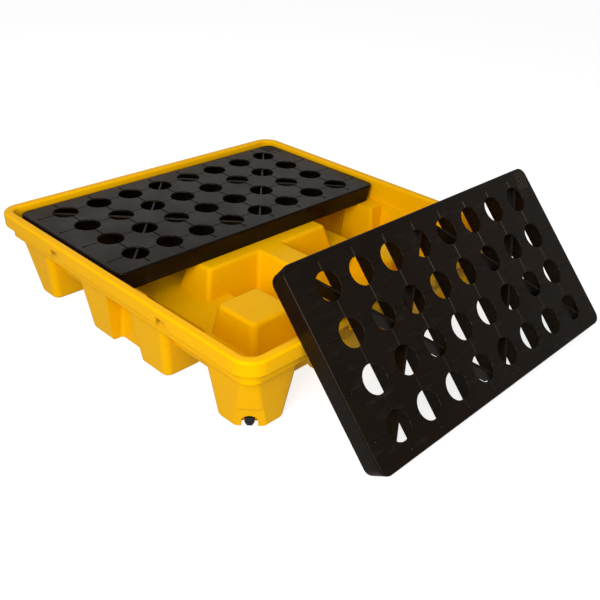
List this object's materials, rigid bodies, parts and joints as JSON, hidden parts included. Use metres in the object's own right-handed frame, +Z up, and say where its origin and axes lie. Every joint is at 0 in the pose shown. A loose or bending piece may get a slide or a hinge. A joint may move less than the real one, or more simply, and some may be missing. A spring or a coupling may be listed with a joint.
{
  "type": "spill containment pallet",
  "caption": "Square moulded sump tray on feet with fork channels from all sides, two perforated lift-out deck grates, one of them leaning on the rim, and a threaded drain plug.",
  "frame": {"origin": "on the floor, under the middle of the plan box of the whole assembly with its front grate leaning on the rim", "axes": "+X along the grates' long edges, +Y from the leaning grate towards the tray's back, +Z up"},
  "size_m": [1.3906, 1.6228, 0.4889],
  "materials": {
    "yellow_polyethylene": "satin moulded, faint leather grain",
    "black_polyethylene": "satin moulded",
    "black_nylon": "semi-gloss moulded",
    "seal_rubber": "matte"
  },
  "bodies": {
    "tray": {"sump_tray": "yellow_polyethylene", "drain_insert": "black_nylon"},
    "back_grate": {"back_grate": "black_polyethylene"},
    "front_grate": {"front_grate": "black_polyethylene"},
    "gasket": {"plug_gasket": "seal_rubber"},
    "plug": {"drain_plug": "black_nylon"}
  },
  "joints": [
    {"name": "back_grate_lift", "type": "slide", "parent": "tray", "child": "back_grate", "axis": [0, 0, 1], "range_m": [0, 0.35]},
    {"name": "front_grate_tilt", "type": "hinge", "parent": "tray", "child": "front_grate", "pos_m": [0.09024, -0.75848, 0], "axis": [1, 0, 0], "range_deg": [0, 42.4]},
    {"name": "plug_out", "type": "slide", "parent": "tray", "child": "gasket", "axis": [-0.7071, -0.7071, 0], "range_m": [0, 0.0147]},
    {"name": "plug_turn", "type": "hinge", "parent": "gasket", "child": "plug", "pos_m": [-0.57559, -0.36894, 0.023], "axis": [-0.7071, -0.7071, 0], "range_deg": [0, 2880]}
  ],
  "couplings": [
    {"joint": "plug_out", "follows": "plug_turn", "m_per_rad": 0.00028871}
  ]
}
